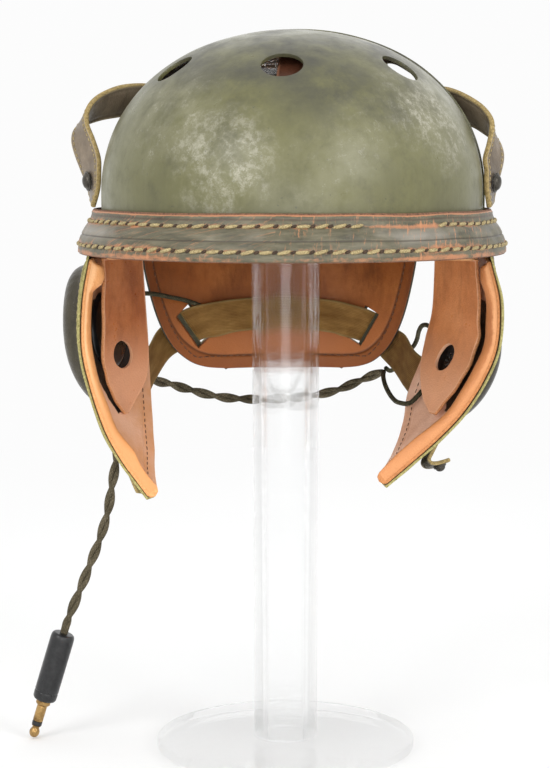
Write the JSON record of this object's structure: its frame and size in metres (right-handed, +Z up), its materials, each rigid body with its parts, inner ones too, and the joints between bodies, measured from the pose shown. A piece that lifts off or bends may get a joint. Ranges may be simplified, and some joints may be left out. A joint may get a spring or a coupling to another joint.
{
  "type": "tanker helmet on a clear display stand",
  "caption": "Vented tank crew helmet with leather ear flaps, neck flap, sprung side straps, built-in headset with a plug, resting on a plain clear display stand.",
  "frame": {"origin": "on the floor under the middle of the helmet's rim, at the underside of the stand's base", "axes": "+Z up, helmet faces -Y, wearer's right at -X"},
  "size_m": [0.2954, 0.2928, 0.4416],
  "materials": {
    "shell_paint": "worn olive drab paint on pressed fibre",
    "band_leather": "worn, orange where rubbed",
    "green_leather": "satin",
    "tan_leather": "aged",
    "pale_leather": "aged",
    "strap_leather": "worn",
    "crown_leather": "aged",
    "cover_leather": "satin",
    "black_plastic": "semi-gloss",
    "webbing": "woven elastic",
    "braid": "braided cotton",
    "dark_metal": "blackened",
    "brass": "aged",
    "acrylic": "clear acrylic"
  },
  "bodies": {
    "root": {"shell_front": "shell_paint", "shell_rear": "shell_paint", "rim_band": "band_leather", "sweatband": "pale_leather", "crown_strap_long": "crown_leather", "crown_strap_cross": "crown_leather", "ear_flap_left": "green_leather", "ear_lining_left": "pale_leather", "ear_leaf_left": "tan_leather", "receiver_left": "black_plastic", "receiver_cover_left": "cover_leather", "side_strap_left": "strap_leather", "strap_snap_left": "dark_metal", "strap_rivet_left": "dark_metal", "ear_flap_right": "green_leather", "ear_lining_right": "pale_leather", "ear_leaf_right": "tan_leather", "receiver_right": "black_plastic", "receiver_cover_right": "cover_leather", "side_strap_right": "strap_leather", "strap_snap_right": "dark_metal", "strap_rivet_right": "dark_metal", "neck_flap": "green_leather", "neck_lining": "tan_leather", "elastic_webbing": "webbing", "chin_tab_left": "strap_leather", "chin_tab_right": "cover_leather", "chin_snap_right": "dark_metal", "headset_cord": "braid", "lead_left": "braid", "lead_right_upper": "braid", "lead_right_lower": "braid", "plug_body": "black_plastic", "plug_collar": "brass", "plug_sleeve": "brass", "plug_insulator": "black_plastic", "plug_tip": "brass", "stand_head": "acrylic", "stand_column": "acrylic", "stand_base": "acrylic"}
  },
  "joints": []
}
